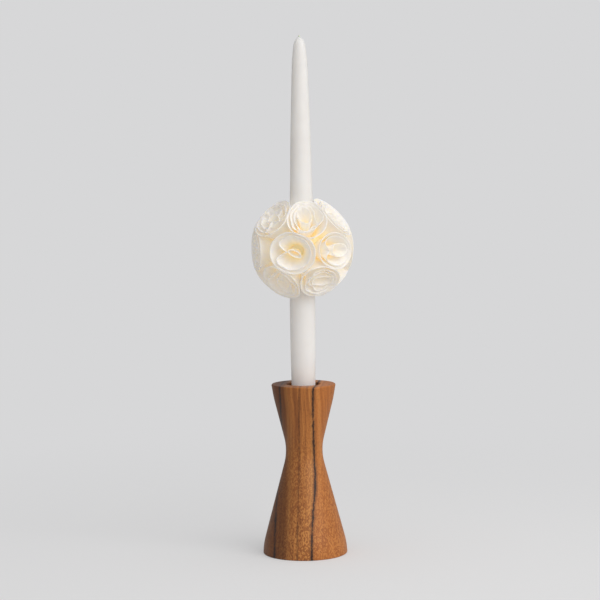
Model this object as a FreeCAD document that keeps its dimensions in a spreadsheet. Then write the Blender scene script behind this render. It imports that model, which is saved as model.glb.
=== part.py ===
import FreeCAD, Part
import math
import os
import re

import Sketcher

# A turned wooden candlestick holding a dipped taper candle that carries a ball of wax roses.
#
# Frame: millimetres, +Z up, origin at the centre of the foot on the surface it stands on, -Y to the front.
# The stand is an hourglass turned from one block of wood, with a drip well and a candle bore drilled into
# its top. The taper stands in the bore and lifts out. A cotton wick runs up the taper. A round wax core is
# threaded on the taper, and three rings of roses stand on the core, each rose being three nested wax cups.

SHEET = "Sizes"

# Every driving dimension: alias, value in millimetres or degrees, and what it measures.
DIMENSIONS = [
    ("foot_radius", 39.1, "stand: radius at the foot"),
    ("heel_radius", 38.55, "stand: radius of the outline's corner just above the foot"),
    ("heel_height", 9.5, "stand: height of that corner"),
    ("heel_sweep", 70.0, "stand: radius of the curve that softens it"),
    ("waist_radius", 15.4, "stand: radius where the two flanks would meet"),
    ("waist_height", 96.0, "stand: height where the two flanks would meet"),
    ("waist_sweep", 49.0, "stand: radius of the curve through the waist"),
    ("shoulder_radius", 27.6, "stand: radius of the outline's corner below the rim"),
    ("shoulder_height", 145.0, "stand: height of that corner"),
    ("shoulder_sweep", 120.0, "stand: radius of the curve that softens it"),
    ("rim_radius", 29.8, "stand: radius at the rim"),
    ("rim_height", 158.0, "stand: height of the rim"),
    ("edge_round", 1.2, "stand: rounding of the rim's outer edge"),
    ("foot_round", 1.0, "stand: rounding of the foot's edge"),
    ("hollow_radius", 30.0, "stand: radius of the turned hollow underneath"),
    ("hollow_depth", 1.5, "stand: depth of the hollow underneath"),
    ("well_radius", 15.7, "drip well: radius"),
    ("well_depth", 8.0, "drip well: depth below the rim"),
    ("well_round", 1.2, "drip well: rounding of its mouth"),
    ("bore_radius", 11.4, "candle bore: radius"),
    ("bore_depth", 34.0, "candle bore: depth below the rim"),
    ("bore_lead", 0.6, "candle bore: chamfer at its mouth"),
    ("taper_foot_radius", 10.9, "taper: radius at its foot"),
    ("taper_neck_radius", 11.1, "taper: radius where it leaves the stand"),
    ("taper_neck_height", 161.0, "taper: height where it leaves the stand"),
    ("taper_mid_radius", 10.3, "taper: radius just above the ball"),
    ("taper_mid_height", 337.0, "taper: height just above the ball"),
    ("taper_shoulder_radius", 7.05, "taper: radius where the point begins"),
    ("taper_shoulder_height", 455.0, "taper: height where the point begins"),
    ("taper_nose_radius", 5.6, "taper: radius where the point rounds over"),
    ("taper_nose_height", 468.0, "taper: height where the point rounds over"),
    ("taper_tip_height", 476.3, "taper: height of the wax tip"),
    ("belly_sweep", 3800.0, "taper: radius of the swelling along its lower half"),
    ("upper_sweep", 5400.0, "taper: radius of the swelling along its upper half"),
    ("nose_sweep", 12.0, "taper: radius of the rounded point"),
    ("wick_radius", 0.9, "wick: radius"),
    ("wick_nib", 1.1, "wick: length showing above the wax"),
    ("wick_recess", 0.6, "wick: how far its lower end is drawn up into the taper's foot"),
    ("nib_round", 0.6, "wick: rounding of its top"),
    ("ball_height", 283.5, "ball: height of its centre"),
    ("ball_radius", 47.5, "ball: radius of the sphere that the rose rims lie on"),
    ("core_radius", 24.0, "ball core: radius"),
    ("core_bore_low", 11.76, "ball core: bore radius at its bottom"),
    ("core_bore_high", 11.2, "ball core: bore radius at its top"),
    ("cup_stem", 5.0, "rose: radius where the outer cup sits on the core"),
    ("cup_wall", 1.2, "rose: thickness of a wax cup"),
    ("cup_floor", 3.0, "rose: thickness of the outer cup's floor"),
    ("folded_rim", 0.78, "rose: rim of the folded cup, as a share of the outer cup's"),
    ("folded_drop", 1.6, "rose: how far the folded cup's rim lies below the outer cup's"),
    ("folded_stem", 3.4, "rose: radius of the folded cup at its floor"),
    ("heart_rim", 0.3, "rose: rim of the heart, as a share of the outer cup's"),
    ("heart_drop", 4.5, "rose: how far the heart's rim lies below the outer cup's"),
    ("heart_stem", 1.9, "rose: radius of the heart at its floor"),
]

# The three rings of roses: name, how many, latitude on the ball, azimuth of the first rose counted from the
# front towards +X, and the half angle that one rose takes up, seen from the ball's centre. All in degrees.
RINGS = [
    ("upper", 6, 42.0, 10.0, 21.5),
    ("middle", 6, -3.0, -10.0, 23.7),
    ("lower", 5, -47.0, -36.0, 19.9),
]
FULL_TURN = 360.0
SAME_POINT = 1e-6
SAME_SIZE = 0.01
SMALLEST_CUT = 1.0


def make_sheet(doc):
    """The spreadsheet of driving dimensions: one row each, with an alias on the value."""
    sheet = doc.addObject("Spreadsheet::Sheet", SHEET)
    rows = list(DIMENSIONS)
    for ring, count, latitude, azimuth, half_angle in RINGS:
        rows += [
            (ring + "_latitude", latitude, ring + " ring: latitude on the ball"),
            (ring + "_azimuth", azimuth, ring + " ring: azimuth of the first rose"),
            (ring + "_spacing", FULL_TURN / count, ring + " ring: angle from rose to rose"),
            (ring + "_half_angle", half_angle, ring + " ring: half angle of one rose"),
        ]
    for row, (alias, value, meaning) in enumerate(rows, start=1):
        sheet.set(f"A{row}", meaning)
        sheet.set(f"B{row}", str(value))
        sheet.setAlias(f"B{row}", alias)
    doc.recompute()
    return sheet


def linked(expression, sheet):
    """An expression on bare aliases, with each alias pointed at the sheet."""
    def point(match):
        word = match.group()
        return f"{SHEET}.{word}" if sheet.getCellFromAlias(word) else word

    return re.sub(r"[a-z_]+", point, expression)


def number(expression, sheet):
    """The value that an expression on aliases has now."""
    return float(sheet.evalExpression(linked(expression, sheet)))


def plane_of(body, role):
    return next(f for f in body.Origin.OriginFeatures if f.Role == role)


def new_body(doc, label):
    body = doc.addObject("PartDesign::Body", label)
    body.Label = label
    return body


def new_sketch(body, name, role, sheet, height=None):
    """A sketch on one of the body's own origin planes, lifted to a height if one is given."""
    sketch = body.newObject("Sketcher::SketchObject", name)
    sketch.AttachmentSupport = [(plane_of(body, role), "")]
    sketch.MapMode = "FlatFace"
    if height:
        sketch.setExpression("AttachmentOffset.Base.z", linked(height, sheet))
    return sketch


def bind(sketch, name, constraint, expression, sheet):
    """Adds a dimension whose value follows the sheet."""
    index = sketch.addConstraint(constraint)
    sketch.renameConstraint(index, name)
    sketch.setExpression(f"Constraints.{name}", linked(expression, sheet))


def bulged(start, end, radius, hollow):
    """The arc of that radius from start to end. It swells out to the right of the way from start to end, or
    to the left, into the outline, if it is hollow."""
    chord = end - start
    middle = (start + end) * 0.5
    side = FreeCAD.Vector(chord.y, -chord.x, 0).normalize() * (-1 if hollow else 1)
    half = chord.Length / 2
    sagitta = radius - (radius**2 - half**2) ** 0.5
    return Part.Arc(start, middle + side * sagitta, end)


def rounding(before, corner, after, radius):
    """The arc of that radius which rounds a corner off, and the points where it leaves the two sides."""
    back = (before - corner).normalize()
    on = (after - corner).normalize()
    half_angle = back.getAngle(on) / 2
    reach = radius / math.tan(half_angle)
    bisector = (back + on).normalize()
    middle = corner + bisector * (radius / math.sin(half_angle) - radius)
    leave, join = corner + back * reach, corner + on * reach
    return Part.Arc(leave, middle, join), leave, join


def end_at(sketch, side, point):
    """Which end of a side lies at a point. An arc in a sketch always runs anticlockwise, so it may be 2."""
    return 1 if sketch.getPoint(side, 1).distanceToPoint(point) < SAME_POINT else 2


def place_point(sketch, name, side, end, corner, at, sheet):
    """Ties a point of the sketch to a corner's two expressions, for its radius and its height."""
    x, y = corner
    if x == "0":
        sketch.addConstraint(Sketcher.Constraint("PointOnObject", side, end, -2))
    else:
        across = Sketcher.Constraint("DistanceX", -1, 1, side, end, at.x)
        bind(sketch, f"radius_{name}", across, x, sheet)
    if y == "0":
        sketch.addConstraint(Sketcher.Constraint("PointOnObject", side, end, -1))
    else:
        up = Sketcher.Constraint("DistanceY", -1, 1, side, end, at.y)
        bind(sketch, f"height_{name}", up, y, sheet)


def draw_outline(sketch, corners, sheet, sweeps=None, rounded=None, hollow=()):
    """A closed outline through corners, each a pair of expressions for radius and height, anticlockwise.
    Every side is a line, but a side whose first corner is in sweeps is an arc of that radius, which swells
    outwards, or inwards if the corner is in hollow too. A corner in rounded is rounded off to that radius
    between its two lines."""
    sweeps = sweeps or {}
    rounded = rounded or {}
    count = len(corners)
    points = [FreeCAD.Vector(number(x, sheet), number(y, sheet), 0) for x, y in corners]
    starts, ends = list(points), points[1:] + points[:1]
    arcs = {}
    for i, radius in rounded.items():
        curve, ends[i - 1], starts[i] = rounding(
            points[i - 1], points[i], points[(i + 1) % count], number(radius, sheet)
        )
        arcs[i] = sketch.addGeometry(curve, False)
    sides = []
    for i in range(count):
        if i in sweeps:
            curve = bulged(starts[i], ends[i], number(sweeps[i], sheet), i in hollow)
        else:
            curve = Part.LineSegment(starts[i], ends[i])
        sides.append(sketch.addGeometry(curve, False))
    for i in range(count):
        before, after = sides[i - 1], sides[i]
        leave = end_at(sketch, before, ends[i - 1])
        join = end_at(sketch, after, starts[i])
        if i not in rounded:
            sketch.addConstraint(Sketcher.Constraint("Coincident", before, leave, after, join))
            place_point(sketch, i, after, join, corners[i], points[i], sheet)
            continue
        arc = arcs[i]
        for side, end, at in ((before, leave, ends[i - 1]), (after, join, starts[i])):
            touch = Sketcher.Constraint("Tangent", side, end, arc, end_at(sketch, arc, at))
            sketch.addConstraint(touch)
        point = sketch.addGeometry(Part.Point(points[i]), True)
        for side in (before, after):
            sketch.addConstraint(Sketcher.Constraint("PointOnObject", point, 1, side))
        place_point(sketch, i, point, 1, corners[i], points[i], sheet)
        size = Sketcher.Constraint("Radius", arc, number(rounded[i], sheet))
        bind(sketch, f"rounding_{i}", size, rounded[i], sheet)
    for i, radius in sweeps.items():
        size = Sketcher.Constraint("Radius", sides[i], number(radius, sheet))
        bind(sketch, f"sweep_{i}", size, radius, sheet)


def revolve(body, sketch, name):
    turned = body.newObject("PartDesign::Revolution", name)
    turned.Profile = sketch
    turned.ReferenceAxis = (sketch, ["V_Axis"])
    turned.Angle = FULL_TURN
    return turned


def turned_body(doc, label, corners, sheet, sweeps=None, rounded=None):
    """A body turned about its own Z axis from one outline."""
    body = new_body(doc, label)
    sketch = new_sketch(body, label + "_outline", "XZ_Plane", sheet)
    draw_outline(sketch, corners, sheet, sweeps, rounded)
    revolve(body, sketch, label + "_turning")
    doc.recompute()
    return body


def circle_pocket(doc, body, name, radius, depth, sheet, height=None, upwards=False):
    """Drills a round pocket of that radius and depth into the body, and checks that it removed material."""
    before = body.Tip.Shape.Volume
    sketch = new_sketch(body, name + "_circle", "XY_Plane", sheet, height)
    circle = Part.Circle(FreeCAD.Vector(), FreeCAD.Vector(0, 0, 1), number(radius, sheet))
    side = sketch.addGeometry(circle, False)
    sketch.addConstraint(Sketcher.Constraint("Coincident", side, 3, -1, 1))
    size = Sketcher.Constraint("Radius", side, number(radius, sheet))
    bind(sketch, "radius", size, radius, sheet)
    pocket = body.newObject("PartDesign::Pocket", name)
    pocket.Profile = sketch
    pocket.Type = "Length"
    pocket.setExpression("Length", linked(depth, sheet))
    pocket.Reversed = upwards
    doc.recompute()
    if pocket.Shape.Volume > before - SMALLEST_CUT:
        raise RuntimeError(f"{name} cut nothing")


def round_edges(feature, radius, height):
    """Names of a feature's whole circular edges of that radius at that height."""
    found = []
    for i, edge in enumerate(feature.Shape.Edges, start=1):
        curve = edge.Curve
        if isinstance(curve, Part.Circle) and abs(curve.Radius - radius) < SAME_SIZE:
            if abs(curve.Center.z - height) < SAME_SIZE:
                found.append(f"Edge{i}")
    if not found:
        raise RuntimeError(f"no edge of radius {radius} at height {height} on {feature.Name}")
    return found


def dress(doc, body, kind, name, edges, size, sheet):
    """A PartDesign fillet or chamfer of the edges named, its size following the sheet."""
    base = body.Tip
    feature = body.newObject("PartDesign::" + kind, name)
    feature.Base = (base, edges)
    feature.setExpression("Radius" if kind == "Fillet" else "Size", linked(size, sheet))
    doc.recompute()


def make_stand(doc, sheet):
    """The hourglass stand: five corners rounded off into one flowing outline and turned about Z, with the
    hollow under the foot, the drip well and the candle bore."""
    corners = [
        ("0", "0"),
        ("foot_radius", "0"),
        ("heel_radius", "heel_height"),
        ("waist_radius", "waist_height"),
        ("shoulder_radius", "shoulder_height"),
        ("rim_radius", "rim_height"),
        ("0", "rim_height"),
    ]
    rounded = {1: "foot_round", 2: "heel_sweep", 3: "waist_sweep", 4: "shoulder_sweep", 5: "edge_round"}
    body = turned_body(doc, "turned_stand", corners, sheet, rounded=rounded)
    circle_pocket(doc, body, "drip_well", "well_radius", "well_depth", sheet, height="rim_height")
    circle_pocket(doc, body, "candle_bore", "bore_radius", "bore_depth", sheet, height="rim_height")
    circle_pocket(doc, body, "foot_hollow", "hollow_radius", "hollow_depth", sheet, upwards=True)
    mouth = round_edges(body.Tip, number("well_radius", sheet), number("rim_height", sheet))
    dress(doc, body, "Fillet", "well_mouth", mouth, "well_round", sheet)
    well_floor = number("rim_height - well_depth", sheet)
    lead = round_edges(body.Tip, number("bore_radius", sheet), well_floor)
    dress(doc, body, "Chamfer", "bore_lead_in", lead, "bore_lead", sheet)
    return body


def make_taper(doc, sheet):
    """The dipped wax taper: a straight foot, two long swelling arcs and a rounded point, with a channel for
    the wick right through it."""
    foot = "rim_height - bore_depth"
    corners = [
        ("wick_radius", foot),
        ("taper_foot_radius", foot),
        ("taper_neck_radius", "taper_neck_height"),
        ("taper_mid_radius", "taper_mid_height"),
        ("taper_shoulder_radius", "taper_shoulder_height"),
        ("taper_nose_radius", "taper_nose_height"),
        ("wick_radius", "taper_tip_height"),
    ]
    sweeps = {2: "belly_sweep", 3: "upper_sweep", 5: "nose_sweep"}
    return turned_body(doc, "taper", corners, sheet, sweeps=sweeps)


def make_wick(doc, sheet):
    """The cotton wick, from just inside the taper's foot to a short nib above its tip."""
    foot = "rim_height - bore_depth + wick_recess"
    top = "taper_tip_height + wick_nib"
    corners = [
        ("0", foot),
        ("wick_radius", foot),
        ("wick_radius", top),
        ("0", top),
    ]
    return turned_body(doc, "wick", corners, sheet, rounded={2: "nib_round"})


def make_core(doc, sheet):
    """The wax core of the ball: a sphere about its own origin, bored to fit the taper."""
    low_end = "-( ( core_radius ^ 2 - core_bore_low ^ 2 ) ^ 0.5 )"
    high_end = "( core_radius ^ 2 - core_bore_high ^ 2 ) ^ 0.5"
    corners = [
        ("core_bore_low", low_end),
        ("core_bore_high", high_end),
    ]
    body = new_body(doc, "ball_core")
    sketch = new_sketch(body, "ball_core_outline", "XZ_Plane", sheet)
    low, high = (FreeCAD.Vector(number(x, sheet), number(y, sheet), 0) for x, y in corners)
    equator = FreeCAD.Vector(number("core_radius", sheet), 0, 0)
    shell = sketch.addGeometry(Part.Arc(low, equator, high), False)
    bore = sketch.addGeometry(Part.LineSegment(low, high), False)
    sketch.addConstraint(Sketcher.Constraint("Coincident", shell, 1, bore, 1))
    sketch.addConstraint(Sketcher.Constraint("Coincident", shell, 2, bore, 2))
    sketch.addConstraint(Sketcher.Constraint("Coincident", shell, 3, -1, 1))
    size = Sketcher.Constraint("Radius", shell, equator.x)
    bind(sketch, "radius", size, "core_radius", sheet)
    for name, position, corner in (("low", 1, low), ("high", 2, high)):
        across = Sketcher.Constraint("DistanceX", -1, 1, bore, position, corner.x)
        bind(sketch, name + "_bore", across, f"core_bore_{name}", sheet)
    revolve(body, sketch, "ball_core_turning")
    body.setExpression("Placement.Base.z", linked("ball_height", sheet))
    doc.recompute()
    return body


def face_rose(body, ring, place, sheet):
    """Puts a body's own Z axis along the place-th rose of a ring, from the ball's centre outwards."""
    centre = "vector( 0 ; 0 ; ball_height )"
    yaw = f"{ring}_azimuth + {ring}_spacing * {place} - 90"
    pitch = f"90 - {ring}_latitude"
    body.setExpression("Placement", linked(f"placement( {centre} ; rotation( {yaw} ; {pitch} ; 0 ) )", sheet))


def make_cup(doc, label, rim, rim_drop, stem, floor, floor_wall, half_angle, sheet, on_core=False):
    """One wax cup, turned about Z: a flared wall on a thick floor. rim is its radius and rim_drop how far its
    rim lies below the ball's surface. An outer cup's foot is a patch of the core's own sphere."""
    rim_height = f"ball_radius * cos( {half_angle} ) - {rim_drop}"
    foot = "( core_radius ^ 2 - cup_stem ^ 2 ) ^ 0.5" if on_core else floor
    top_of_floor = f"{floor} + {floor_wall}"
    corners = [
        (stem, foot),
        (rim, rim_height),
        (f"{rim} - cup_wall", rim_height),
        (f"{stem} - cup_wall * 0.5", top_of_floor),
        ("0", top_of_floor),
        ("0", "core_radius" if on_core else floor),
    ]
    body = new_body(doc, label)
    sketch = new_sketch(body, label + "_outline", "XZ_Plane", sheet)
    seat = {5: "core_radius"} if on_core else {}
    draw_outline(sketch, corners, sheet, sweeps=seat, hollow=seat)
    revolve(body, sketch, label + "_turning")
    return body


def make_rose(doc, number_in_ball, ring, place, sheet):
    """One rose: an outer cup on the core, a folded cup inside it and a heart inside that."""
    half_angle = f"{ring}_half_angle * 1 deg"
    radius = f"( ball_radius * sin( {half_angle} ) )"
    stem_name = f"rose_{number_in_ball:02d}_"
    seat = "core_radius + cup_floor"
    outer = make_cup(
        doc, stem_name + "outer_cup", radius, "0", "cup_stem", "core_radius", "cup_floor",
        half_angle, sheet, on_core=True,
    )
    folded = make_cup(
        doc, stem_name + "folded_cup", f"{radius} * folded_rim", "folded_drop", "folded_stem", seat,
        "cup_wall", half_angle, sheet,
    )
    heart = make_cup(
        doc, stem_name + "heart", f"{radius} * heart_rim", "heart_drop", "heart_stem",
        f"{seat} + cup_wall", "cup_wall", half_angle, sheet,
    )
    cups = [outer, folded, heart]
    for cup in cups:
        face_rose(cup, ring, place, sheet)
    return cups


def check(doc, parts):
    """Stops the build if any object failed or any sub-part isn't one sound solid."""
    for item in doc.Objects:
        if {"Invalid", "Error"} & set(item.State):
            raise RuntimeError(f"{item.Label} failed: {item.State}")
    for part in parts:
        shape = part.Shape
        if shape.isNull() or not shape.isValid() or len(shape.Solids) != 1 or shape.Volume <= 0:
            raise RuntimeError(f"{part.Label} is not one valid solid")


def build():
    doc = FreeCAD.newDocument("candlestick")
    sheet = make_sheet(doc)
    parts = [make_stand(doc, sheet), make_taper(doc, sheet), make_wick(doc, sheet), make_core(doc, sheet)]
    rose = 0
    for ring, count, _latitude, _azimuth, _half_angle in RINGS:
        for place in range(count):
            rose += 1
            parts += make_rose(doc, rose, ring, place, sheet)
    doc.recompute()
    check(doc, parts)
    os.makedirs("parts", exist_ok=True)
    for part in parts:
        part.Shape.exportStep(os.path.join("parts", part.Label + ".step"))
    print(f"{len(parts)} sub-parts")


build()
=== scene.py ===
import math

import bmesh
import bpy
import numpy as np
from mathutils import Matrix, Vector, noise


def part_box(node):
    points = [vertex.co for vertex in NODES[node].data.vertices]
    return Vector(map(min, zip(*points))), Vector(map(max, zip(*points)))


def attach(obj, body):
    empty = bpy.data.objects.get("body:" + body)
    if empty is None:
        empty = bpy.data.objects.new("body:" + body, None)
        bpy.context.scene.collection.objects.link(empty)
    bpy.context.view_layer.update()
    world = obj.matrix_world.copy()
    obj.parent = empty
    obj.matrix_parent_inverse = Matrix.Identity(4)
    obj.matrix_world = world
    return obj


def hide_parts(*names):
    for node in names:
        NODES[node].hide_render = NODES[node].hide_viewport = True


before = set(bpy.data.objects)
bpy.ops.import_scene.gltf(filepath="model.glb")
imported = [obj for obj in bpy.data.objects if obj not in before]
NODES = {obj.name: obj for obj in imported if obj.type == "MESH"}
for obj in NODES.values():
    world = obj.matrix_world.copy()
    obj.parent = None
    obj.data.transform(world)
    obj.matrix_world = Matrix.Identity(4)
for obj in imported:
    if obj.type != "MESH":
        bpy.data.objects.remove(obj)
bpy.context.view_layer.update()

# Everything is in metres in the part's own frame: +Z up, the foot on the floor at the origin and -Y to the
# front.
MM = 0.001
FULL_TURN = 2 * math.pi

# ---- places and sizes read from the frame --------------------------------------------------------------
CORE_LOW, CORE_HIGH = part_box("ball_core")
CORE_RADIUS = (CORE_HIGH.x - CORE_LOW.x) / 2
ROSE_COUNT = sum(name.endswith("_heart") for name in NODES)
# What lies further out than this share of the core's radius is its round surface, and not its bore.
ROUND_FROM = 0.9


def vertices_of(node):
    """A CAD node's vertices as an array."""
    mesh = NODES[node].data
    points = np.empty(len(mesh.vertices) * 3)
    mesh.vertices.foreach_get("co", points)
    return points.reshape(-1, 3)


# The core is a ball with a bore, so its box doesn't give its middle: its round surface does.
CORE_POINTS = vertices_of("ball_core")
ON_SURFACE = CORE_POINTS[np.hypot(CORE_POINTS[:, 0], CORE_POINTS[:, 1]) > ROUND_FROM * CORE_RADIUS]
BALL_CENTRE = Vector((0.0, 0.0, float(ON_SURFACE[:, 2].mean())))
ALL_CUPS = np.concatenate([vertices_of(name) for name in NODES if name.endswith("_outer_cup")])
BALL_RADIUS = float(np.linalg.norm(ALL_CUPS - np.array(BALL_CENTRE), axis=1).max())

# ---- the roses ------------------------------------------------------------------------------------------
# A cup's mesh: faces round it, faces from throat to rim, and the level of its smoothing.
CUP_AROUND = 72
CUP_UP = 12
CUP_SMOOTHING = 1
SEAM_GAP = 0.02 * MM
OUTER_WALL = 0.9 * MM
INNER_WALL = 0.7 * MM
# A cup's middle surface is kept this far from the plane between its rose and a neighbour, and the pressing
# sets in over the second length.
PRESS_GAP = 0.2 * MM
PRESS_SOFTNESS = 0.7 * MM
NEIGHBOUR_ANGLE = math.radians(75)
SEED_STEP = 3.7
# The stems stand this deep in the core.
STEM_SUNK = 2.5 * MM
# Rims as shares of the even rim's radius, and how far each rim stands above the even one.
OUTER_RIM, FOLDED_RIM, SECOND_RIM = 1.10, 0.88, 0.68
FOLDED_LIFT, SECOND_LIFT, HEART_LIFT = 0.4 * MM, -0.3 * MM, -0.8 * MM
# These roses have no second layer in their folded cup. In the others it is pinched from this many degrees
# further round, and it is this much more ruffled.
SINGLE_FOLDS = (7, 8, 13)
SECOND_TURN = 70
SECOND_RUFFLE = 1.6
# A heart leans by the first share of its breadth, less the second, both of the rim's radius.
HEART_LEAN, HEART_BACK = 0.5, 0.1

# ---- the candle and its wick ----------------------------------------------------------------------------
TAPER_AROUND = 96
TAPER_RINGS = 260
# Dipping leaves long low lumps: how high, how long and how many round the candle. They fade out where the
# candle is thinner than this.
UNEVENNESS = 0.12 * MM
LUMP_LENGTH = 28 * MM
LUMPS_AROUND = 0.8
TAPER_UNEVEN_FROM = 5 * MM
SAME_LEVEL = 0.01 * MM
SAME_POINT = 0.002 * MM
WICK_STRANDS = 3
WICK_POINTS = 480
WICK_TWIST = 6 * MM

# ---- how the roses were made and set --------------------------------------------------------------------

# How each rose was folded, as seen facing it with the candle's tip up: the direction that its folded cup is
# pinched from in degrees (0 to the right, 90 up), how deep the pinch goes and how wide it is in degrees, how
# ruffled the cup is, the direction that its heart petal leans, that petal's length as a share of the rim's
# radius and its breadth as a share of its length.
FOLDS = {
    1: (300, 0.42, 34, 0.16, 120, 0.48, 0.75),
    2: (130, 0.45, 28, 0.20, 210, 0.42, 0.60),
    6: (322, 0.52, 26, 0.22, 60, 0.44, 0.55),
    7: (172, 0.74, 20, 0.05, -28, 0.34, 0.42),
    8: (183, 0.52, 22, 0.04, 8, 0.50, 0.80),
    12: (30, 0.50, 26, 0.16, 200, 0.40, 0.60),
    13: (112, 0.42, 40, 0.12, 285, 0.52, 0.66),
    14: (160, 0.30, 30, 0.14, 10, 0.60, 0.50),
}
# The roses that face away are folded by turns, so that no two neighbours look alike: the pinch turns by so
# many degrees from one to the next, and a wobble changes its depth, the ruffle and the heart's direction.
FOLD_STEP = 137.5
AVERAGE_FOLD = (0.50, 26, 0.14, 0.46, 0.62)
WOBBLE_STEP = 2.3
DEPTH_WOBBLE, RUFFLE_WOBBLE = 0.15, 0.05
HEART_BESIDE, HEART_WOBBLE = 150, 40

# How each rose was set by hand: degrees further round and further up than the even rings of the CAD cups,
# how wide and how tall its rim was pressed as shares of the even rim, and that oval's lean in degrees.
SETTINGS = {
    1: (-1.6, -2.0, 0.99, 1.20, -9),
    2: (-3.0, 1.0, 0.98, 1.28, 5),
    6: (-6.0, -0.5, 1.28, 1.12, -24),
    7: (-1.4, 0.0, 1.03, 0.94, 0),
    8: (-4.8, 1.3, 1.04, 0.80, -14),
    12: (-7.0, 1.5, 0.95, 0.90, 0),
    13: (-1.0, 2.8, 1.02, 1.24, 0),
    14: (-6.0, 5.0, 1.25, 1.05, -30),
}
AVERAGE_SETTING = (0.0, 0.0, 1.06, 1.06, 0.0)


def srgb(code):
    """A hex colour as linear red, green, blue and alpha."""
    values = [int(code[i:i + 2], 16) / 255 for i in (1, 3, 5)]
    return [v / 12.92 if v <= 0.04045 else ((v + 0.055) / 1.055) ** 2.4 for v in values] + [1.0]


def add(tree, kind, inputs=(), out=0, **settings):
    """Adds a node, sets it up, feeds its inputs from sockets or plain values and returns one output."""
    node = tree.nodes.new(kind)
    for name, value in settings.items():
        setattr(node, name, value)
    for key, value in dict(inputs).items():
        if isinstance(value, bpy.types.NodeSocket):
            tree.links.new(value, node.inputs[key])
        else:
            node.inputs[key].default_value = value
    return node.outputs[out] if len(node.outputs) else node


def set_stops(ramp, stops):
    """Gives a colour ramp its stops: pairs of position and hex colour or grey level."""
    elements = ramp.node.color_ramp.elements
    while len(elements) > 1:
        elements.remove(elements[-1])
    for i, (position, colour) in enumerate(stops):
        stop = elements[0] if i == 0 else elements.new(position)
        stop.position = position
        stop.color = srgb(colour) if isinstance(colour, str) else (colour, colour, colour, 1.0)
    return ramp


def new_material(name):
    """A material with a principled shader on its output, its tree and that shader."""
    material = bpy.data.materials.new(name)
    material.use_nodes = True
    tree = material.node_tree
    tree.nodes.clear()
    surface = add(tree, "ShaderNodeBsdfPrincipled")
    add(tree, "ShaderNodeOutputMaterial", {"Surface": surface})
    return material, tree, surface.node


def place_in_mm(tree):
    """Object coordinates in millimetres."""
    where = add(tree, "ShaderNodeTexCoord", out="Object")
    return add(tree, "ShaderNodeVectorMath", {0: where, "Scale": 1 / MM}, operation="SCALE")


# ---- wax ------------------------------------------------------------------------------------------------
WAX_IOR = 1.44
# Painted glow: the petal wax gives off this much light of its own, for the light that thin walls pass on.
PAINTED_WAX_GLOW = 0.07


def paraffin_candle_wax():
    """Bleached paraffin, dipped coat on coat: near white, cloudy and soft to the eye because light sinks
    about a centimetre in, with the dull shine of a wiped candle and faint clouds from the dipping."""
    material, tree, wax = new_material("dipped_paraffin_wax")
    where = place_in_mm(tree)
    cloud_size = 22.0
    clouds = add(tree, "ShaderNodeTexNoise", {"Vector": where, "Scale": 1 / cloud_size, "Detail": 3.0})
    tint = set_stops(add(tree, "ShaderNodeValToRGB", {"Fac": clouds}), [(0.3, "#f0eeed"), (0.7, "#f5f4f3")])
    tree.links.new(tint, wax.inputs["Base Color"])
    wax.inputs["Subsurface Weight"].default_value = 1.0
    wax.inputs["Subsurface Radius"].default_value = (1.0, 0.97, 0.93)
    wax.inputs["Subsurface Scale"].default_value = 12 * MM
    wax.inputs["IOR"].default_value = WAX_IOR
    smear_size = 6.0
    smears = add(tree, "ShaderNodeTexNoise", {"Vector": where, "Scale": 1 / smear_size, "Detail": 4.0})
    shine = add(tree, "ShaderNodeMapRange", {"Value": smears, "To Min": 0.38, "To Max": 0.55})
    tree.links.new(shine, wax.inputs["Roughness"])
    dimple_size = 1.6
    dimples = add(tree, "ShaderNodeTexNoise", {"Vector": where, "Scale": 1 / dimple_size, "Detail": 2.0})
    relief = add(tree, "ShaderNodeBump", {"Height": dimples, "Strength": 0.12, "Distance": 0.1 * MM})
    tree.links.new(relief, wax.inputs["Normal"])
    return material


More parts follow.
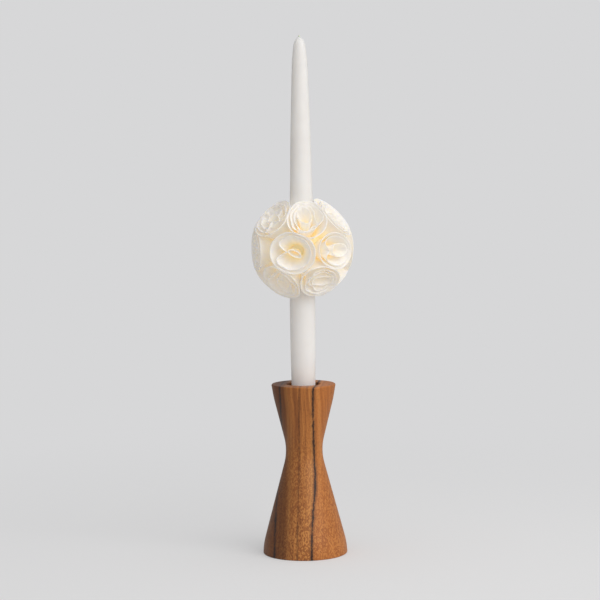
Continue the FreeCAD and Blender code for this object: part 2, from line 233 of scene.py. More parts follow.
def rose_wax():
    """Ivory beeswax blend in walls under a millimetre thick. Thin rims are nearly white. Deeper in the ball
    the colour is painted honey yellow towards the throats and in the crevices between cups: painted shade
    and glow for light that has passed through more wax and bounced between the walls. Walls this thin pass
    light on from all sides, more than the shader's scattering does, and a faint painted glow in the same
    tint makes that up."""
    material, tree, wax = new_material("ivory_beeswax_petals")
    where = place_in_mm(tree)
    centre = tuple(BALL_CENTRE / MM)
    out = add(tree, "ShaderNodeVectorMath", {0: where, 1: centre}, out="Value", operation="DISTANCE")
    blotch_size = 5.0
    blotches = add(tree, "ShaderNodeTexNoise", {"Vector": where, "Scale": 1 / blotch_size, "Detail": 3.0})
    most = 2.2
    shift = add(tree, "ShaderNodeMapRange", {"Value": blotches, "To Min": -most, "To Max": most})
    depth = add(tree, "ShaderNodeMath", {0: out, 1: shift}, operation="ADD")
    low, high = CORE_RADIUS / MM, BALL_RADIUS / MM
    share = add(tree, "ShaderNodeMapRange", {"Value": depth, "From Min": low, "From Max": high})
    # Painted shade and glow: the base colour runs from honey yellow deep in the ball, in the throats and the
    # crevices between cups, to near white at the rims, for light passing through and bouncing between the
    # wax walls.
    stops = [(0.0, "#fdf2d2"), (0.22, "#fbf3df"), (0.5, "#f5f2ea"), (0.75, "#f4f1ec"), (1.0, "#f3f0ec")]
    tint = set_stops(add(tree, "ShaderNodeValToRGB", {"Fac": share}), stops)
    tree.links.new(tint, wax.inputs["Base Color"])
    wax.inputs["Subsurface Weight"].default_value = 1.0
    wax.inputs["Subsurface Radius"].default_value = (1.0, 0.93, 0.75)
    wax.inputs["Subsurface Scale"].default_value = 1.5 * MM
    # Painted glow, in the same tint as the base colour.
    tree.links.new(tint, wax.inputs["Emission Color"])
    wax.inputs["Emission Strength"].default_value = PAINTED_WAX_GLOW
    wax.inputs["IOR"].default_value = WAX_IOR
    smear_size = 3.0
    smears = add(tree, "ShaderNodeTexNoise", {"Vector": where, "Scale": 1 / smear_size, "Detail": 3.0})
    shine = add(tree, "ShaderNodeMapRange", {"Value": smears, "To Min": 0.32, "To Max": 0.55})
    tree.links.new(shine, wax.inputs["Roughness"])
    ripple_size = 2.2
    ripples = add(tree, "ShaderNodeTexNoise", {"Vector": where, "Scale": 1 / ripple_size, "Detail": 2.0})
    relief = add(tree, "ShaderNodeBump", {"Height": ripples, "Strength": 0.25, "Distance": 0.2 * MM})
    tree.links.new(relief, wax.inputs["Normal"])
    return material


def waxed_cotton():
    """Braided cotton soaked in wax: off-white threads with a dull shine."""
    material, tree, cotton = new_material("waxed_cotton_braid")
    where = place_in_mm(tree)
    thread_width = 0.25
    threads = add(tree, "ShaderNodeTexNoise", {"Vector": where, "Scale": 1 / thread_width, "Detail": 3.0})
    tint = set_stops(add(tree, "ShaderNodeValToRGB", {"Fac": threads}), [(0.3, "#e9e4da"), (0.7, "#f6f3ed")])
    tree.links.new(tint, cotton.inputs["Base Color"])
    cotton.inputs["Roughness"].default_value = 0.6
    cotton.inputs["Subsurface Weight"].default_value = 0.3
    cotton.inputs["Subsurface Scale"].default_value = 1 * MM
    relief = add(tree, "ShaderNodeBump", {"Height": threads, "Strength": 0.5, "Distance": 0.1 * MM})
    tree.links.new(relief, cotton.inputs["Normal"])
    return material


# ---- wood -----------------------------------------------------------------------------------------------
# All lengths inside this material are in millimetres. The growth layers stand nearly square to X and lean
# back with depth: a layer that is x across in the middle is LAYER_LEAN * y further across at the depth y.
LAYER_LEAN = 0.11
# Each vein's height and place across, in pairs from foot to rim.
RIGHT_VEIN = [(0, 9.8), (40, 10.4), (68, 11.8), (95, 10.6), (128, 10.8), (158, 12.9)]
LEFT_VEIN = [(0, -25.4), (57, -25.0), (124, -20.0), (158, -19.6)]
FAINT_VEIN = [(0, -3.4), (60, -3.2), (110, -2.4), (158, -0.6)]
# Each vein's half width, colour and strength.
VEINS = (
    (RIGHT_VEIN, 0.95, "#2a1814", 0.92),
    (LEFT_VEIN, 1.0, "#2b1c1a", 0.92),
    (FAINT_VEIN, 0.7, "#4a2814", 0.5),
)
# The wood beside a vein is stained; the reaches are shares of the vein's half width, and each fades out over
# the rest of its reach.
STAIN, STAIN_REACH, STAIN_STRENGTH = "#5a3018", 3.2, 0.53
VEIN_REACH = 1.2
SOLID_SHARE = 0.35


def follow(tree, height, places):
    """The across-position that a vein has at a height, from a few given pairs of height and position."""
    low, high = places[0][0], places[-1][0]
    share = add(tree, "ShaderNodeMapRange", {"Value": height, "From Min": low, "From Max": high})
    curve = add(tree, "ShaderNodeFloatCurve", {"Value": share})
    left = min(p for _, p in places)
    span = max(p for _, p in places) - left
    points = curve.node.mapping.curves[0].points
    while len(points) < len(places):
        points.new(0.5, 0.5)
    for point, (at, place) in zip(points, places):
        point.location = ((at - low) / (high - low), (place - left) / span)
    curve.node.mapping.update()
    return add(tree, "ShaderNodeMath", {0: curve, 1: span, 2: left}, operation="MULTIPLY_ADD")


def oiled_hardwood():
    """Straight-grained brown hardwood, turned, sanded and oiled: warm orange brown in layers, two nearly
    black mineral veins from top to bottom and a faint third one, short open pores along the grain, a curly
    figure over the lower half that catches the light, and a satin sheen."""
    material, tree, wood = new_material("oiled_hardwood_turned")
    where = place_in_mm(tree)
    x, y, z = (add(tree, "ShaderNodeSeparateXYZ", {0: where}, out=axis) for axis in "XYZ")
    leaning = add(tree, "ShaderNodeMath", {0: y, 1: -LAYER_LEAN, 2: x}, operation="MULTIPLY_ADD")
    # A slow wander of the layers along the trunk.
    wander_size, most = 45.0, 3.0
    slow = add(tree, "ShaderNodeTexNoise", {"Vector": where, "Scale": 1 / wander_size, "Detail": 2.0})
    wander = add(tree, "ShaderNodeMapRange", {"Value": slow, "To Min": -most, "To Max": most})
    across = add(tree, "ShaderNodeMath", {0: leaning, 1: wander}, operation="ADD")

    # Layers: broad and narrow stripes, drawn out along the trunk.
    flat = add(tree, "ShaderNodeCombineXYZ", {"X": across, "Y": 0.0, "Z": z})
    stripes = {}
    for name, width, length in (("broad", 5.0, 220.0), ("narrow", 1.4, 90.0), ("fibre", 0.5, 22.0)):
        cells = (1 / width, 1.0, 1 / length)
        drawn = add(tree, "ShaderNodeVectorMath", {0: flat, 1: cells}, operation="MULTIPLY")
        stripes[name] = add(tree, "ShaderNodeTexNoise", {"Vector": drawn, "Scale": 1.0, "Detail": 2.0})
    tone = 0.0
    for name, share in (("broad", 0.5), ("narrow", 0.28), ("fibre", 0.22)):
        tone = add(tree, "ShaderNodeMath", {0: stripes[name], 1: share, 2: tone}, operation="MULTIPLY_ADD")
    stops = [(0.34, "#6c3c1c"), (0.45, "#a2622e"), (0.54, "#c07a3c"), (0.66, "#d29350")]
    colour = set_stops(add(tree, "ShaderNodeValToRGB", {"Fac": tone}), stops)

    # Curly figure, strongest towards the foot: the contour lines of a soft noise wriggle like the grain of a
    # curly board. They are about a millimetre and a half apart, coarser than real ones, so that they show.
    swirl_size, lines_per_swirl = (3.0, 3.0, 5.0), 24.0
    cells = tuple(1 / size for size in swirl_size)
    stretched = add(tree, "ShaderNodeVectorMath", {0: where, 1: cells}, operation="MULTIPLY")
    swirls = add(tree, "ShaderNodeTexNoise", {"Vector": stretched, "Scale": 1.0, "Detail": 1.0})
    phase = add(tree, "ShaderNodeMath", {0: swirls, 1: lines_per_swirl}, operation="MULTIPLY")
    lines = add(tree, "ShaderNodeMath", {0: phase}, operation="SINE")
    level = add(tree, "ShaderNodeMapRange", {"Value": lines, "From Min": -1.0})
    stops = [(0.1, "#743e1a"), (0.5, "#b06a31"), (0.9, "#dc9c54")]
    curl_tone = set_stops(add(tree, "ShaderNodeValToRGB", {"Fac": level}), stops)
    lower_down = {"Value": z, "From Min": 125.0, "From Max": 62.0, "To Max": 0.55}
    figured = add(tree, "ShaderNodeMapRange", lower_down)
    in_patches = {"Value": slow, "From Min": 0.3, "From Max": 0.62, "To Min": 0.45}
    patch = add(tree, "ShaderNodeMapRange", in_patches)
    how_curly = add(tree, "ShaderNodeMath", {0: figured, 1: patch}, operation="MULTIPLY")
    curly = add(tree, "ShaderNodeMix", {0: how_curly, 6: colour, 7: curl_tone}, out=2, data_type="RGBA")

    # Right of the right-hand vein the wood is redder and lighter: partly its own colour, partly painted
    # light on the side that the light falls on.
    right = follow(tree, z, RIGHT_VEIN)
    beyond = add(tree, "ShaderNodeMath", {0: leaning, 1: right}, operation="SUBTRACT")
    step = {"Value": beyond, "From Min": 0.0, "From Max": 1.5, "To Max": 0.4}
    redder_and_painted_light = add(tree, "ShaderNodeMapRange", step)
    warm = add(tree, "ShaderNodeMix", {0: redder_and_painted_light, 6: curly, 7: srgb("#c67535")}, out=2, data_type="RGBA")

    # Painted shade: towards the left side, away from the light, the wood is darkened to a deep brown.
    darker = {"Value": across, "From Min": -17.0, "From Max": -5.0, "To Min": 0.74, "To Max": 0.0}
    painted_left_shade = add(tree, "ShaderNodeMapRange", darker)
    warm = add(tree, "ShaderNodeMix", {0: painted_left_shade, 6: warm, 7: srgb("#4a240c")}, out=2, data_type="RGBA")

    # Pores: short dark dashes along the grain, wider than real ones so that they show.
    pore_width, pore_length = 0.9, 5.0
    cells = (1 / pore_width, 1 / pore_width, 1 / pore_length)
    dashes = add(tree, "ShaderNodeVectorMath", {0: where, 1: cells}, operation="MULTIPLY")
    nearest = add(tree, "ShaderNodeTexVoronoi", {"Vector": dashes, "Scale": 1.0, "Randomness": 1.0})
    dash = {"Value": nearest, "From Min": 0.12, "From Max": 0.3, "To Min": 0.5, "To Max": 0.0}
    pores = add(tree, "ShaderNodeMapRange", dash)
    veined = add(tree, "ShaderNodeMix", {0: pores, 6: warm, 7: srgb("#42230f")}, out=2, data_type="RGBA")

    # Veins: dark mineral lines with frayed edges that swell, thin out and stain the wood beside them.
    frays = {}
    for name, size, length, most in (("swelling", 6.0, 14.0, 1.2), ("fray", 1.0, 2.6, 1.3)):
        cells = (1 / size, 1 / size, 1 / length)
        torn = add(tree, "ShaderNodeVectorMath", {0: where, 1: cells}, operation="MULTIPLY")
        rough = add(tree, "ShaderNodeTexNoise", {"Vector": torn, "Scale": 1.0, "Detail": 3.0})
        frays[name] = add(tree, "ShaderNodeMapRange", {"Value": rough, "To Min": -most, "To Max": most})
    for places, width, dark, strength in VEINS:
        vein = right if places is RIGHT_VEIN else follow(tree, z, places)
        off = add(tree, "ShaderNodeMath", {0: leaning, 1: vein}, operation="SUBTRACT")
        frayed = add(tree, "ShaderNodeMath", {0: off, 1: frays["fray"]}, operation="ADD")
        distance = add(tree, "ShaderNodeMath", {0: frayed}, operation="ABSOLUTE")
        slimmed = add(tree, "ShaderNodeMath", {0: distance, 1: frays["swelling"]}, operation="ADD")
        bands = (
            (width * STAIN_REACH, STAIN, strength * STAIN_STRENGTH),
            (width * VEIN_REACH, dark, strength),
        )
        for reach, tint, most in bands:
            fading = {"From Min": reach * SOLID_SHARE, "From Max": reach, "To Min": most, "To Max": 0.0}
            near = add(tree, "ShaderNodeMapRange", {"Value": slimmed, **fading})
            veined = add(tree, "ShaderNodeMix", {0: near, 6: veined, 7: srgb(tint)}, out=2, data_type="RGBA")
    tree.links.new(veined, wood.inputs["Base Color"])

    wood.inputs["IOR"].default_value = 1.48
    wood.inputs["Specular IOR Level"].default_value = 0.4
    shine = add(tree, "ShaderNodeMapRange", {"Value": stripes["fibre"], "To Min": 0.34, "To Max": 0.56})
    tree.links.new(shine, wood.inputs["Roughness"])
    height = add(tree, "ShaderNodeMath", {0: pores, 1: -0.8, 2: stripes["fibre"]}, operation="MULTIPLY_ADD")
    relief = add(tree, "ShaderNodeBump", {"Height": height, "Strength": 0.25, "Distance": 0.15 * MM})
    tree.links.new(relief, wood.inputs["Normal"])
    return material


# ---- shapes ---------------------------------------------------------------------------------------------
def new_piece(name, mesh, material, body, slot, *nodes):
    """A finished mesh as a named piece that rides on a body and stands for these CAD nodes."""
    mesh.name = name
    mesh.materials.clear()
    mesh.materials.append(material)
    mesh.shade_smooth()
    piece = bpy.data.objects.new(name, mesh)
    bpy.context.scene.collection.objects.link(piece)
    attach(piece, body)
    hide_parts(*nodes)
    return piece


class Rose:
    """A rose's place on the ball, read from its outer cup in the frame, and how it was set and folded."""

    def __init__(self, number):
        self.number = number
        self.stem = f"rose_{number:02d}_"
        points = vertices_of(self.stem + "outer_cup") - np.array(BALL_CENTRE)
        out = Vector(points.mean(axis=0)).normalized()
        along = points @ np.array(out)
        beside = np.sqrt((points**2).sum(axis=1) - along**2)
        self.rim_radius = float(beside.max())
        self.rim_height = float(along.max())
        self.fold = FOLDS.get(number) or self.own_fold()
        further_round, further_up, self.wide, self.tall, lean = SETTINGS.get(number, AVERAGE_SETTING)
        self.lean = math.radians(lean)
        round_z = Matrix.Rotation(math.radians(further_round), 3, "Z")
        lift = Matrix.Rotation(math.radians(further_up), 3, out.cross(Vector((0, 0, 1))))
        self.out = round_z @ (lift @ out)
        self.up = (Vector((0, 0, 1)) - self.out * self.out.z).normalized()
        self.side = self.up.cross(self.out)
        oval = Matrix.Rotation(self.lean, 4, "Z") @ Matrix.Diagonal((self.wide, self.tall, 1.0, 1.0))
        oval = oval @ Matrix.Rotation(-self.lean, 4, "Z")
        turn = Matrix((self.side, self.up, self.out)).transposed().to_4x4()
        self.place = Matrix.Translation(BALL_CENTRE) @ turn @ oval

    def own_fold(self):
        """A fold for a rose that isn't in the table."""
        depth, width, ruffle, length, breadth = AVERAGE_FOLD
        turned = self.number * FOLD_STEP % 360
        wobble = math.sin(self.number * WOBBLE_STEP)
        depth += DEPTH_WOBBLE * wobble
        ruffle += RUFFLE_WOBBLE * wobble
        heart = (turned + HEART_BESIDE + HEART_WOBBLE * wobble) % 360
        return turned, depth, width, ruffle, heart, length, breadth

    def reach_towards(self, other):
        """The radius of the oval rim in another rose's direction."""
        angle = math.atan2(other.out.dot(self.up), other.out.dot(self.side)) - self.lean
        return self.rim_radius / math.hypot(math.cos(angle) / self.wide, math.sin(angle) / self.tall)


ROSES = [Rose(number) for number in range(1, ROSE_COUNT + 1)]

# The inputs of the tree for one cup, with an ordinary cup's values.
CUP_INPUTS = {
    "Throat Radius": 5 * MM,
    "Rim Radius": 19 * MM,
    "Throat Height": 24 * MM,
    "Rim Height": 43 * MM,
    "Flare": math.radians(60),
    "Fullness": 0.3,
    "Fold Depth": 0.0,
    "Fold Width": 0.4,
    "Fold Direction": 0.0,
    "Ruffle": 0.05,
    "Waviness": 1.0 * MM,
    "Ruffle Size": 1.2,
    "Squeeze": 1.0,
    "Lean": 0.0,
    "Turn": 0.0,
    "Seed": 0.0,
}

# One wax cup in words: each row is a name, an operation and what it works on, which is an input of the tree,
# an earlier row or a number. "angle" runs round the cup and "up" from 0 at the throat to 1 at the rim.
CUP_STEPS = (
    ("angle", "MULTIPLY", "column", FULL_TURN),
    ("up", "ADD", "row", 0.5),
    # The trumpet: an arc from upright at the throat to Flare at the rim, which Fullness fills out to a cone.
    ("bend", "MULTIPLY", "up", "Flare"),
    ("bend cosine", "COSINE", "bend"),
    ("swelling", "SUBTRACT", 1.0, "bend cosine"),
    ("flare cosine", "COSINE", "Flare"),
    ("full swelling", "SUBTRACT", 1.0, "flare cosine"),
    ("arc swell", "DIVIDE", "swelling", "full swelling"),
    ("hollowing", "SUBTRACT", "up", "arc swell"),
    ("swell", "MULTIPLY_ADD", "hollowing", "Fullness", "arc swell"),
    ("bend sine", "SINE", "bend"),
    ("flare sine", "SINE", "Flare"),
    ("rise", "DIVIDE", "bend sine", "flare sine"),
    ("reach", "SUBTRACT", "Rim Radius", "Throat Radius"),
    ("plain radius", "MULTIPLY_ADD", "reach", "swell", "Throat Radius"),
    ("climb", "SUBTRACT", "Rim Height", "Throat Height"),
    ("plain height", "MULTIPLY_ADD", "climb", "rise", "Throat Height"),
    # The pinch: a bell curve round the fold's direction, deepening towards the rim.
    ("away", "SUBTRACT", "angle", "Fold Direction"),
    ("turned", "WRAP", "away", math.pi, -math.pi),
    ("share", "DIVIDE", "turned", "Fold Width"),
    ("square", "MULTIPLY", "share", "share"),
    ("negative square", "MULTIPLY", "square", -1.0),
    ("bell", "EXPONENT", "negative square"),
    ("deepening", "POWER", "up", 1.3),
    ("deep bell", "MULTIPLY", "bell", "deepening"),
    ("pinch", "MULTIPLY", "deep bell", "Fold Depth"),
    ("left over", "SUBTRACT", 1.0, "pinch"),
    ("pinched radius", "MULTIPLY", "plain radius", "left over"),
    # Ruffles: noise round the rim, fading to nothing at the throat.
    ("fade", "POWER", "up", 2.0),
    ("centred wave", "SUBTRACT", "wave", 0.5),
    ("fading wave", "MULTIPLY", "centred wave", "fade"),
    ("ruffle", "MULTIPLY", "fading wave", "Ruffle"),
    ("ruffle factor", "MULTIPLY_ADD", "ruffle", 2.0, 1.0),
    ("ruffled radius", "MULTIPLY", "pinched radius", "ruffle factor"),
    ("centred lift", "SUBTRACT", "lift", 0.5),
    ("fading lift", "MULTIPLY", "centred lift", "fade"),
    ("billow", "MULTIPLY", "fading lift", "Waviness"),
    ("height", "MULTIPLY_ADD", "billow", 2.0, "plain height"),
    ("x", "MULTIPLY", "ruffled radius", "cosine"),
    ("length", "MULTIPLY_ADD", "Lean", "fade", "x"),
    ("y", "MULTIPLY", "ruffled radius", "sine"),
    ("breadth", "MULTIPLY", "y", "Squeeze"),
)


def wax_cup_tree(material):
    """Geometry nodes for one wax cup: a grid wrapped round into a trumpet about +Z that can be pinched from
    one side, ruffled, squeezed flat, leaned and turned."""
    tree = bpy.data.node_groups.new("wax_cup", "GeometryNodeTree")
    for name, value in CUP_INPUTS.items():
        tree.interface.new_socket(name, in_out="INPUT", socket_type="NodeSocketFloat").default_value = value
    tree.interface.new_socket("Cup", in_out="OUTPUT", socket_type="NodeSocketGeometry")
    given = tree.nodes.new("NodeGroupInput").outputs
    values = {name: given[name] for name in CUP_INPUTS}

    grid = add(tree, "GeometryNodeMeshGrid", {0: 1.0, 1: 1.0, 2: CUP_AROUND + 1, 3: CUP_UP + 1})
    place = add(tree, "GeometryNodeInputPosition")
    values["column"] = add(tree, "ShaderNodeSeparateXYZ", {0: place}, out=0)
    values["row"] = add(tree, "ShaderNodeSeparateXYZ", {0: place}, out=1)
    around = add(tree, "ShaderNodeMath", {0: values["column"], 1: FULL_TURN}, operation="MULTIPLY")
    values["cosine"] = add(tree, "ShaderNodeMath", {0: around}, operation="COSINE")
    values["sine"] = add(tree, "ShaderNodeMath", {0: around}, operation="SINE")
    ring = add(tree, "ShaderNodeCombineXYZ", {0: values["cosine"], 1: values["sine"], 2: values["row"]})
    for name, other in (("wave", 0.0), ("lift", 31.0)):
        seed = add(tree, "ShaderNodeMath", {0: given["Seed"], 1: other}, operation="ADD")
        ripple = {"Vector": ring, "W": seed, "Scale": given["Ruffle Size"], "Detail": 2.0}
        values[name] = add(tree, "ShaderNodeTexNoise", ripple, noise_dimensions="4D")
    for name, operation, *parts in CUP_STEPS:
        inputs = {i: values.get(part, part) for i, part in enumerate(parts)}
        values[name] = add(tree, "ShaderNodeMath", inputs, operation=operation)

    shaped = {0: values["length"], 1: values["breadth"], 2: values["height"]}
    turned = {"Vector": add(tree, "ShaderNodeCombineXYZ", shaped), "Angle": given["Turn"]}
    wrapped = add(tree, "ShaderNodeVectorRotate", turned, rotation_type="Z_AXIS")
    cup = add(tree, "GeometryNodeSetPosition", {"Geometry": grid, "Position": wrapped})
    cup = add(tree, "GeometryNodeMergeByDistance", {"Geometry": cup, "Distance": SEAM_GAP})
    finish_tree(tree, cup, material)
    return tree


def finish_tree(tree, geometry, material):
    """Ends a geometry tree: real geometry with its material on the group's output."""
    real = add(tree, "GeometryNodeRealizeInstances", {"Geometry": geometry})
    dressed = add(tree, "GeometryNodeSetMaterial", {"Geometry": real, "Material": material})
    tree.links.new(dressed, tree.nodes.new("NodeGroupOutput").inputs[0])


def grown(tree, sizes):
    """The plain mesh that a geometry tree gives for these named sizes."""
    seedling = bpy.data.objects.new("seedling", bpy.data.meshes.new("seedling"))
    modifier = seedling.modifiers.new("grow", "NODES")
    modifier.node_group = tree
    for item in tree.interface.items_tree:
        if item.in_out == "INPUT" and item.name in sizes:
            modifier[item.identifier] = sizes[item.name]
    return evaluated_mesh(seedling)


def evaluated_mesh(seedling):
    """The mesh that an object's modifiers make; the object itself is cleared away."""
    bpy.context.scene.collection.objects.link(seedling)
    bpy.context.view_layer.update()
    evaluated = seedling.evaluated_get(bpy.context.evaluated_depsgraph_get())
    mesh = bpy.data.meshes.new_from_object(evaluated)
    seedling.modifiers.clear()
    bpy.data.objects.remove(seedling)
    return mesh


def press_apart(mesh, rose):
    """Where a cup would reach past the plane between its rose and a neighbour, or out of the ball, the soft
    wax is pressed back."""
    points = np.empty(len(mesh.vertices) * 3)
    mesh.vertices.foreach_get("co", points)
    points = points.reshape(-1, 3) - np.array(BALL_CENTRE)
    for other in ROSES:
        between = rose.out.angle(other.out, 0.0)
        if other is rose or between > NEIGHBOUR_ANGLE:
            continue
        own, others = rose.reach_towards(other), other.reach_towards(rose)
        edge = rose.out.slerp(other.out, own / (own + others))
        normal = np.array((other.out - edge * other.out.dot(edge)).normalized())
        beyond = points @ normal + PRESS_GAP
        pressed = -PRESS_SOFTNESS * np.logaddexp(0.0, -beyond / PRESS_SOFTNESS)
        points += np.outer(pressed - beyond, normal)
    distance = np.linalg.norm(points, axis=1)
    room = BALL_RADIUS - distance
    kept = BALL_RADIUS - PRESS_SOFTNESS * np.logaddexp(0.0, room / PRESS_SOFTNESS)
    points *= (kept / distance)[:, None]
    mesh.vertices.foreach_set("co", (points + np.array(BALL_CENTRE)).ravel())


def thickened(mesh, wall):
    """A cup's mesh with its wall's thickness and a rounded rim."""
    blank = bpy.data.objects.new("blank", mesh)
    shell = blank.modifiers.new("wall", "SOLIDIFY")
    shell.thickness = wall
    shell.offset = 0.0
    round_rim = blank.modifiers.new("rounding", "SUBSURF")
    round_rim.levels = round_rim.render_levels = CUP_SMOOTHING
    return evaluated_mesh(blank)


def make_cup(tree, rose, part, wall, material, *layers):
    """One cup of a rose, in its place on the ball: one or more layers of petal, each with named sizes."""
    petals = bmesh.new()
    for i, sizes in enumerate(layers):
        named = {name.replace("_", " ").title(): value for name, value in sizes.items()}
        named["Seed"] = rose.number * SEED_STEP + i
        layer = grown(tree, named)
        layer.transform(rose.place)
        press_apart(layer, rose)
        petals.from_mesh(layer)
    mesh = bpy.data.meshes.new(part)
    petals.to_mesh(mesh)
    petals.free()
    node = rose.stem + part
    new_piece(node + "_wax", thickened(mesh, wall), material, "candle", "rose_wax", node)


def make_rose(tree, rose, material):
    """A rose: an almost round outer cup, a folded cup pinched in from one side and a heart petal, with the
    stems of all three sunk into the core. Most folded cups hold a second, smaller layer."""
    pinched_from, depth, width, ruffle, heart_direction, heart_length, heart_breadth = rose.fold
    rim, height, stem = rose.rim_radius, rose.rim_height, CORE_RADIUS - STEM_SUNK
    outer = {
        "throat_radius": 9 * MM, "throat_height": stem, "rim_radius": rim * OUTER_RIM, "rim_height": height,
        "flare": math.radians(60), "fullness": 0.85, "ruffle": 0.06, "waviness": 0.8 * MM,
        "ruffle_size": 0.9,
    }
    folded = {
        "throat_radius": 6 * MM, "throat_height": stem, "rim_radius": rim * FOLDED_RIM,
        "rim_height": height + FOLDED_LIFT, "flare": math.radians(50), "fullness": 0.7, "fold_depth": depth,
        "fold_width": math.radians(width), "fold_direction": math.radians(pinched_from), "ruffle": ruffle,
        "waviness": 2.8 * MM, "ruffle_size": 2.0,
    }
    second = {
        **folded, "throat_radius": 5 * MM, "rim_radius": rim * SECOND_RIM,
        "rim_height": height + SECOND_LIFT, "fold_direction": math.radians(pinched_from + SECOND_TURN),
        "ruffle": ruffle * SECOND_RUFFLE, "waviness": 3.4 * MM, "ruffle_size": 2.6,
    }
    heart = {
        "throat_radius": 4 * MM, "throat_height": stem, "rim_radius": rim * heart_length,
        "rim_height": height + HEART_LIFT, "flare": math.radians(30), "ruffle": 0.16, "waviness": 1.6 * MM,
        "ruffle_size": 2.0, "squeeze": heart_breadth, "turn": math.radians(heart_direction),
        "lean": rim * (heart_breadth * HEART_LEAN - HEART_BACK),
    }
    make_cup(tree, rose, "outer_cup", OUTER_WALL, material, outer)
    folds = (folded,) if rose.number in SINGLE_FOLDS else (folded, second)
    make_cup(tree, rose, "folded_cup", INNER_WALL, material, *folds)
    make_cup(tree, rose, "heart", INNER_WALL, material, heart)


def dipped_taper(material):
    """The candle: the CAD outline with the slight unevenness that dipping and hand rolling leave."""
    points = vertices_of("taper")
    radii = np.hypot(points[:, 0], points[:, 1])
    levels = np.unique(points[:, 2].round(5))
    outline = np.array([radii[np.abs(points[:, 2] - level) < SAME_LEVEL].max() for level in levels])
    heights = np.linspace(levels[0], levels[-1], TAPER_RINGS)
    mesh = bpy.data.meshes.new("taper")
    candle = bmesh.new()
    rings = []
    for height in [levels[0], *heights, levels[-1]]:
        even = np.interp(height, levels, outline)
        closes = len(rings) in (0, TAPER_RINGS + 1)
        ring = []
        for i in range(TAPER_AROUND):
            turn = FULL_TURN * i / TAPER_AROUND
            way = Vector((math.cos(turn), math.sin(turn), 0.0))
            lumps = noise.noise(way * LUMPS_AROUND + Vector((0.0, 0.0, height / LUMP_LENGTH)))
            fades = min(1.0, even / TAPER_UNEVEN_FROM)
            radius = 0.0 if closes else even - UNEVENNESS * fades * (0.5 + 0.5 * lumps)
            ring.append(candle.verts.new(way * radius + Vector((0.0, 0.0, height))))
        rings.append(ring)
    for low, high in zip(rings, rings[1:]):
        for i in range(TAPER_AROUND):
            j = (i + 1) % TAPER_AROUND
            candle.faces.new((low[i], low[j], high[j], high[i]))
    bmesh.ops.remove_doubles(candle, verts=candle.verts, dist=SAME_POINT)
    bmesh.ops.recalc_face_normals(candle, faces=candle.faces)
    candle.to_mesh(mesh)
    candle.free()
    new_piece("dipped_taper", mesh, material, "candle", "candle_wax", "taper")


def braided_wick_tree(material):
    """Geometry nodes for a wick: a straight line copied into twisting strands, each a round thread."""
    tree = bpy.data.node_groups.new("braided_wick", "GeometryNodeTree")
    for name in ("Bottom", "Top", "Radius", "Twist Length"):
        tree.interface.new_socket(name, in_out="INPUT", socket_type="NodeSocketFloat")
    tree.interface.new_socket("Wick", in_out="OUTPUT", socket_type="NodeSocketGeometry")
    given = tree.nodes.new("NodeGroupInput").outputs
    ends = {name: add(tree, "ShaderNodeCombineXYZ", {2: given[name]}) for name in ("Bottom", "Top")}
    line = add(tree, "GeometryNodeCurvePrimitiveLine", {"Start": ends["Bottom"], "End": ends["Top"]})
    points = add(tree, "GeometryNodeResampleCurve", {"Curve": line, "Count": WICK_POINTS})
    height = add(tree, "ShaderNodeSeparateXYZ", {0: add(tree, "GeometryNodeInputPosition")}, out=2)
    turns = add(tree, "ShaderNodeMath", {0: height, 1: given["Twist Length"]}, operation="DIVIDE")
    half = add(tree, "ShaderNodeMath", {0: given["Radius"], 1: 0.5}, operation="MULTIPLY")
    profile = add(tree, "GeometryNodeCurvePrimitiveCircle", {"Resolution": 8, "Radius": half})
    strands = tree.nodes.new("GeometryNodeJoinGeometry")
    for strand in range(WICK_STRANDS):
        ahead = add(
            tree, "ShaderNodeMath", {0: turns, 1: FULL_TURN, 2: FULL_TURN * strand / WICK_STRANDS},
            operation="MULTIPLY_ADD",
        )
        beside = add(tree, "ShaderNodeCombineXYZ", {0: half})
        offset = add(
            tree, "ShaderNodeVectorRotate", {"Vector": beside, "Angle": ahead}, rotation_type="Z_AXIS"
        )
        path = add(tree, "GeometryNodeSetPosition", {"Geometry": points, "Offset": offset})
        thread = {"Curve": path, "Profile Curve": profile, "Fill Caps": True}
        tree.links.new(add(tree, "GeometryNodeCurveToMesh", thread), strands.inputs[0])
    finish_tree(tree, strands.outputs[0], material)
    return tree


def braided_wick(material):
    """The wick, from the candle's foot to the nib that stands out of its tip."""
    low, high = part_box("wick")
    sizes = {"Bottom": low.z, "Top": high.z, "Radius": (high.x - low.x) / 2, "Twist Length": WICK_TWIST}
    mesh = grown(braided_wick_tree(material), sizes)
    new_piece("braided_wick", mesh, material, "candle", "wick_cotton", "wick")


# ---- the studio -----------------------------------------------------------------------------------------
WAX_BOUNCES = 24
BACKDROP = "#d7d7d8"
FLOOR_RADIUS = 12.0
FLOOR_PAINT, FLOOR_UNSEEN = "#f7f7f8", "#c4bdb3"
# The floor runs into the backdrop between these distances, and starts with this share of it. Near the object
# that share is a flat painted glow that lightens the object's cast shadow.
FADE_FROM, FADE_TO, FADE_START = 0.15, 0.8, 0.4
# The sky is brightest in one direction and dimmest opposite.
SKY_DIRECTION = Vector((0.55, -0.55, 0.62)).normalized()
SKY_DIMMEST, SKY_BRIGHTEST = 0.28, 0.69
WINDOW_PLACE, WINDOW_AIM = Vector((1.1, -1.25, 1.3)), Vector((0.0, 0.0, 0.22))
WINDOW_SIDE, WINDOW_POWER, WINDOW_COLOUR = 1.8, 18.0, "#fffdfa"
CAMERA_PLACE = Vector((-2.25 * MM, -1.7, 0.3732))
CAMERA_DOWN, CAMERA_ROLL = math.radians(4.63), math.radians(-0.69)
SENSOR_WIDTH, FOCAL_LENGTH = 36.0, 111.06


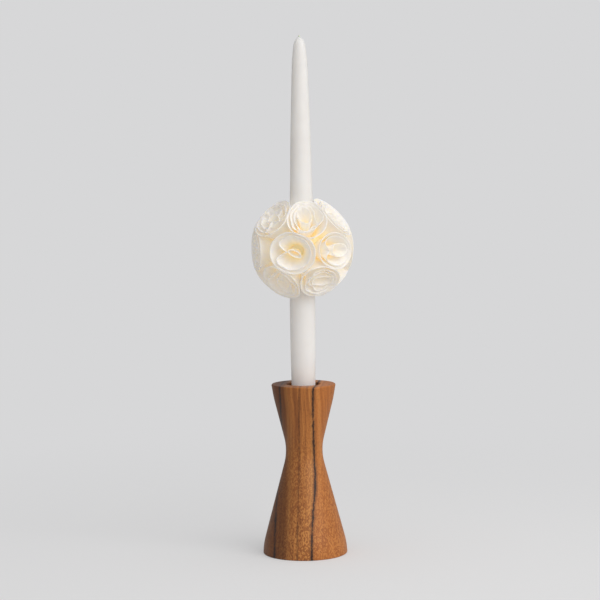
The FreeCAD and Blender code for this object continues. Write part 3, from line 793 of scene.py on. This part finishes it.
def pale_floor():
    """A smooth painted studio floor: plain pale grey, which runs into the backdrop's own brightness with
    distance, so that no horizon shows. The far floor that lights the object from below is darker than the
    camera sees it, as beyond the edge of a paper sweep, and leaves the ball's underside in shade."""
    material, tree, paint = new_material("studio_floor_paint")
    paint.inputs["Roughness"].default_value = 0.9
    paint.inputs["Specular IOR Level"].default_value = 0.1
    where = add(tree, "ShaderNodeTexCoord", out="Object")
    distance = add(tree, "ShaderNodeVectorMath", {0: where}, out="Value", operation="LENGTH")
    fade = {"Value": distance, "From Min": FADE_FROM, "From Max": FADE_TO, "To Min": FADE_START}
    far = add(tree, "ShaderNodeMapRange", fade, interpolation_type="SMOOTHSTEP")
    glow = add(tree, "ShaderNodeEmission", {"Color": srgb(BACKDROP), "Strength": 1.0})
    seen = add(tree, "ShaderNodeLightPath", out="Is Camera Ray")
    # Camera rays see the flat glow mixed in: its starting share near the object is painted light over the
    # cast shadow.
    far_seen = add(tree, "ShaderNodeMath", {0: far, 1: seen}, operation="MULTIPLY")
    far_unseen = add(tree, "ShaderNodeMath", {0: far, 1: far_seen}, operation="SUBTRACT")
    shades = {0: far_unseen, 6: srgb(FLOOR_PAINT), 7: srgb(FLOOR_UNSEEN)}
    shade = add(tree, "ShaderNodeMix", shades, out=2, data_type="RGBA")
    tree.links.new(shade, paint.inputs["Base Color"])
    blend = add(tree, "ShaderNodeMixShader", {0: far_seen, 1: paint.outputs[0], 2: glow})
    output = next(node for node in tree.nodes if node.type == "OUTPUT_MATERIAL")
    tree.links.new(blend, output.inputs["Surface"])
    mesh = bpy.data.meshes.new("floor")
    plan = bmesh.new()
    bmesh.ops.create_circle(plan, cap_ends=True, segments=96, radius=FLOOR_RADIUS)
    plan.to_mesh(mesh)
    plan.free()
    mesh.materials.append(material)
    floor = bpy.data.objects.new("floor", mesh)
    bpy.context.scene.collection.objects.link(floor)


def studio_light():
    """Soft daylight from the front right and above, a dim far side, and an even backdrop."""
    world = bpy.data.worlds.new("studio")
    bpy.context.scene.world = world
    world.use_nodes = True
    tree = world.node_tree
    tree.nodes.clear()
    direction = add(tree, "ShaderNodeTexCoord", out="Generated")
    towards = {0: direction, 1: tuple(SKY_DIRECTION)}
    facing = add(tree, "ShaderNodeVectorMath", towards, out="Value", operation="DOT_PRODUCT")
    sky = {"Value": facing, "From Min": -1.0, "To Min": SKY_DIMMEST, "To Max": SKY_BRIGHTEST}
    ambient = add(tree, "ShaderNodeMapRange", sky)
    seen = add(tree, "ShaderNodeLightPath", out="Is Camera Ray")
    lighting = add(tree, "ShaderNodeBackground", {"Color": srgb("#ffffff"), "Strength": ambient})
    backdrop = add(tree, "ShaderNodeBackground", {"Color": srgb(BACKDROP), "Strength": 1.0})
    both = add(tree, "ShaderNodeMixShader", {0: seen, 1: lighting, 2: backdrop})
    add(tree, "ShaderNodeOutputWorld", {"Surface": both})
    lamp = bpy.data.lights.new("window", "AREA")
    lamp.shape = "RECTANGLE"
    lamp.size, lamp.size_y = WINDOW_SIDE, WINDOW_SIDE
    lamp.energy = WINDOW_POWER
    lamp.color = srgb(WINDOW_COLOUR)[:3]
    window = bpy.data.objects.new("window", lamp)
    bpy.context.scene.collection.objects.link(window)
    window.location = WINDOW_PLACE
    window.rotation_euler = (WINDOW_AIM - WINDOW_PLACE).to_track_quat("-Z", "Y").to_euler()
    window.visible_camera = False


def viewing_camera():
    """A short telephoto from the front, a little above the ball and looking slightly down."""
    lens = bpy.data.cameras.new("camera")
    lens.sensor_width = SENSOR_WIDTH
    lens.lens = FOCAL_LENGTH
    camera = bpy.data.objects.new("camera", lens)
    bpy.context.scene.collection.objects.link(camera)
    pitch = Matrix.Rotation(math.pi / 2 - CAMERA_DOWN, 4, "X")
    roll = Matrix.Rotation(CAMERA_ROLL, 4, "Z")
    camera.matrix_world = Matrix.Translation(CAMERA_PLACE) @ pitch @ roll
    bpy.context.scene.camera = camera
    bpy.context.scene.view_settings.view_transform = "Standard"


def let_light_wander():
    """Pale wax hands light on from wall to wall many times before it is lost."""
    bounces = bpy.context.scene.cycles
    bounces.max_bounces = bounces.diffuse_bounces = WAX_BOUNCES


def set_finish(node, material):
    """Gives a CAD node that stays in view its finish."""
    for material_slot in NODES[node].material_slots:
        material_slot.material = material


candle_wax = paraffin_candle_wax()
petal_wax = rose_wax()
set_finish("turned_stand", oiled_hardwood())
dipped_taper(candle_wax)
braided_wick(waxed_cotton())
set_finish("ball_core", petal_wax)
cup_tree = wax_cup_tree(petal_wax)
for rose in ROSES:
    make_rose(cup_tree, rose, petal_wax)
pale_floor()
studio_light()
viewing_camera()
let_light_wander()
